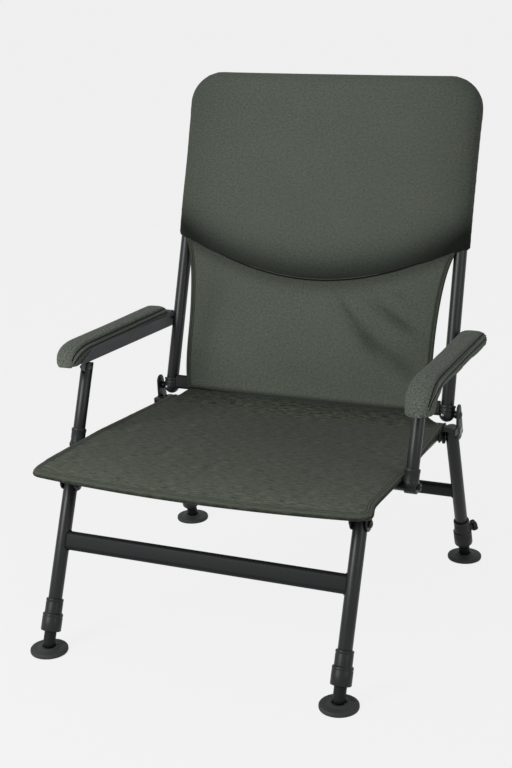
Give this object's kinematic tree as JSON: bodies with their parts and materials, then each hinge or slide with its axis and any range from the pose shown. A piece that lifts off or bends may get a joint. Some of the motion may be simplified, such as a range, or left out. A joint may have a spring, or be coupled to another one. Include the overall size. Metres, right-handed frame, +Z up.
{
  "type": "folding fishing chair",
  "caption": "Low folding chair with a reclined padded back, stretched cloth seat, padded armrests, telescopic legs and tilting round mud feet.",
  "frame": {"origin": "on the ground, under the middle of the chair's box", "axes": "+Z up, -Y towards the front edge of the seat, +X towards the right side as seen from the front"},
  "size_m": [0.6546, 0.7006, 0.8481],
  "materials": {
    "sheet_cloth": "matt woven polyester, dark grey-green",
    "pad_cloth": "matt twill polyester over foam, dark grey-green",
    "tube_paint": "satin charcoal powder coat",
    "bar_paint": "satin near-black powder coat",
    "black_plastic": "fine matt black moulding",
    "grey_plastic": "satin dark grey moulding",
    "foot_rubber": "matt black rubber",
    "zinc_steel": "zinc plated steel"
  },
  "bodies": {
    "seat_frame": {"seat_rail_left": "tube_paint", "seat_rail_right": "tube_paint", "seat_front_tube": "tube_paint", "seat_rear_tube": "tube_paint", "hem_bar_left": "zinc_steel", "hem_bar_right": "zinc_steel", "hem_bar_front": "zinc_steel", "seat_fabric": "sheet_cloth", "hinge_bracket_left": "black_plastic", "hinge_bracket_right": "black_plastic", "front_bracket_left": "bar_paint", "front_bracket_right": "bar_paint", "recline_bolt_left": "black_plastic", "recline_bolt_right": "black_plastic", "rear_leg_bolt_left": "zinc_steel", "rear_leg_bolt_right": "zinc_steel", "front_leg_bolt_left": "zinc_steel", "front_leg_bolt_right": "zinc_steel", "arm_stud_left": "zinc_steel", "arm_stud_right": "zinc_steel"},
    "back": {"back_tube": "tube_paint", "back_socket_left": "black_plastic", "back_socket_right": "black_plastic", "back_cross_bar": "bar_paint", "back_lower_panel": "sheet_cloth", "back_upper_pad": "pad_cloth", "arm_pivot_left": "zinc_steel", "arm_pivot_right": "zinc_steel"},
    "arm_left": {"arm_rail_left": "grey_plastic", "arm_pad_left": "pad_cloth"},
    "arm_right": {"arm_rail_right": "grey_plastic", "arm_pad_right": "pad_cloth"},
    "support_left": {"arm_support_left": "tube_paint", "arm_socket_left": "black_plastic"},
    "support_right": {"arm_support_right": "tube_paint", "arm_socket_right": "black_plastic"},
    "front_legs": {"front_leg_left": "tube_paint", "front_leg_right": "tube_paint", "front_cross_bar": "bar_paint", "leg_clamp_front_left": "black_plastic", "leg_clamp_front_right": "black_plastic"},
    "rear_legs": {"rear_leg_left": "tube_paint", "rear_leg_right": "tube_paint", "rear_cross_bar": "bar_paint", "leg_clamp_rear_left": "black_plastic", "leg_clamp_rear_right": "black_plastic"},
    "extension_front_left": {"leg_extension_front_left": "bar_paint"},
    "foot_front_left": {"mud_foot_front_left": "foot_rubber"},
    "knob_front_left": {"clamp_knob_front_left": "black_plastic"},
    "extension_front_right": {"leg_extension_front_right": "bar_paint"},
    "foot_front_right": {"mud_foot_front_right": "foot_rubber"},
    "knob_front_right": {"clamp_knob_front_right": "black_plastic"},
    "extension_rear_left": {"leg_extension_rear_left": "bar_paint"},
    "foot_rear_left": {"mud_foot_rear_left": "foot_rubber"},
    "knob_rear_left": {"clamp_knob_rear_left": "black_plastic"},
    "extension_rear_right": {"leg_extension_rear_right": "bar_paint"},
    "foot_rear_right": {"mud_foot_rear_right": "foot_rubber"},
    "knob_rear_right": {"clamp_knob_rear_right": "black_plastic"}
  },
  "joints": [
    {"name": "back_fold", "type": "hinge", "parent": "seat_frame", "child": "back", "pos_m": [0, 0.16698, 0.297], "axis": [1, 0, 0], "range_deg": [0, 100]},
    {"name": "arm_level_left", "type": "hinge", "parent": "back", "child": "arm_left", "pos_m": [-0.2712, 0.206, 0.42], "axis": [1, 0, 0], "range_deg": [-100, 0]},
    {"name": "support_turn_left", "type": "hinge", "parent": "seat_frame", "child": "support_left", "pos_m": [-0.2887, -0.12132, 0.275], "axis": [1, 0, 0], "range_deg": [0, 100]},
    {"name": "arm_level_right", "type": "hinge", "parent": "back", "child": "arm_right", "pos_m": [0.2712, 0.206, 0.42], "axis": [1, 0, 0], "range_deg": [-100, 0]},
    {"name": "support_turn_right", "type": "hinge", "parent": "seat_frame", "child": "support_right", "pos_m": [0.2887, -0.12132, 0.275], "axis": [1, 0, 0], "range_deg": [0, 100]},
    {"name": "front_leg_fold", "type": "hinge", "parent": "seat_frame", "child": "front_legs", "pos_m": [0, -0.22242, 0.24954], "axis": [1, 0, 0], "range_deg": [0, 104]},
    {"name": "rear_leg_fold", "type": "hinge", "parent": "seat_frame", "child": "rear_legs", "pos_m": [0, 0.16868, 0.269], "axis": [-1, 0, 0], "range_deg": [0, 66]},
    {"name": "extension_slide_front_left", "type": "slide", "parent": "front_legs", "child": "extension_front_left", "axis": [0, 0.3838, 0.9234], "range_m": [-0.1, 0]},
    {"name": "foot_tilt_front_left", "type": "hinge", "parent": "extension_front_left", "child": "foot_front_left", "pos_m": [-0.2439, -0.32032, 0.014], "axis": [1, 0, 0], "range_deg": [-12, 12]},
    {"name": "knob_turn_front_left", "type": "hinge", "parent": "front_legs", "child": "knob_front_left", "pos_m": [-0.2439, -0.3019, 0.05832], "axis": [-0.4067, 0.8436, -0.3506], "range_deg": [0, 180]},
    {"name": "extension_slide_front_right", "type": "slide", "parent": "front_legs", "child": "extension_front_right", "axis": [0, 0.3838, 0.9234], "range_m": [-0.1, 0]},
    {"name": "foot_tilt_front_right", "type": "hinge", "parent": "extension_front_right", "child": "foot_front_right", "pos_m": [0.2439, -0.32032, 0.014], "axis": [1, 0, 0], "range_deg": [-12, 12]},
    {"name": "knob_turn_front_right", "type": "hinge", "parent": "front_legs", "child": "knob_front_right", "pos_m": [0.2439, -0.3019, 0.05832], "axis": [-0.4067, 0.8436, -0.3506], "range_deg": [0, 180]},
    {"name": "extension_slide_rear_left", "type": "slide", "parent": "rear_legs", "child": "extension_rear_left", "axis": [0.0157, -0.3064, 0.9518], "range_m": [-0.1, 0]},
    {"name": "foot_tilt_rear_left", "type": "hinge", "parent": "extension_rear_left", "child": "foot_rear_left", "pos_m": [-0.2722, 0.25078, 0.014], "axis": [1, 0, 0], "range_deg": [-12, 12]},
    {"name": "knob_turn_rear_left", "type": "hinge", "parent": "rear_legs", "child": "knob_rear_left", "pos_m": [-0.27145, 0.23607, 0.05969], "axis": [-0.7053, 0.6713, 0.2278], "range_deg": [0, 180]},
    {"name": "extension_slide_rear_right", "type": "slide", "parent": "rear_legs", "child": "extension_rear_right", "axis": [-0.0157, -0.3064, 0.9518], "range_m": [-0.1, 0]},
    {"name": "foot_tilt_rear_right", "type": "hinge", "parent": "extension_rear_right", "child": "foot_rear_right", "pos_m": [0.2722, 0.25078, 0.014], "axis": [1, 0, 0], "range_deg": [-12, 12]},
    {"name": "knob_turn_rear_right", "type": "hinge", "parent": "rear_legs", "child": "knob_rear_right", "pos_m": [0.27145, 0.23607, 0.05969], "axis": [0.7053, 0.6713, 0.2278], "range_deg": [0, 180]}
  ],
  "couplings": [
    {"joint": "arm_level_left", "follows": "back_fold", "ratio": -1},
    {"joint": "support_turn_left", "follows": "back_fold", "ratio": 1},
    {"joint": "arm_level_right", "follows": "back_fold", "ratio": -1},
    {"joint": "support_turn_right", "follows": "back_fold", "ratio": 1}
  ]
}
